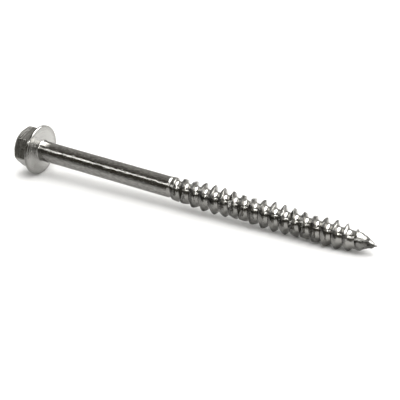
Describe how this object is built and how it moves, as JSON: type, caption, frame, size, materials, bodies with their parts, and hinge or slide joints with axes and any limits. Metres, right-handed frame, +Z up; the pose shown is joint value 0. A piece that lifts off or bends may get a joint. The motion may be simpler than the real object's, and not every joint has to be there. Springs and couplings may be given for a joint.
{
  "type": "structural screw",
  "caption": "Long timber screw with a flanged hexagon head, a plain shank, a coarse thread and a sharp point, lying on its side.",
  "frame": {"origin": "middle of the object's box on the surface it lies on", "axes": "+X along the screw from head to point, +Z up, the point end tipped down by 2.3 degrees as the screw rests"},
  "size_m": [0.1346, 0.0174, 0.0175],
  "materials": {
    "steel": "bright plated steel, smooth, with a faint drawn grain along the shank"
  },
  "bodies": {
    "root": {"structural_screw": "steel"}
  },
  "joints": []
}
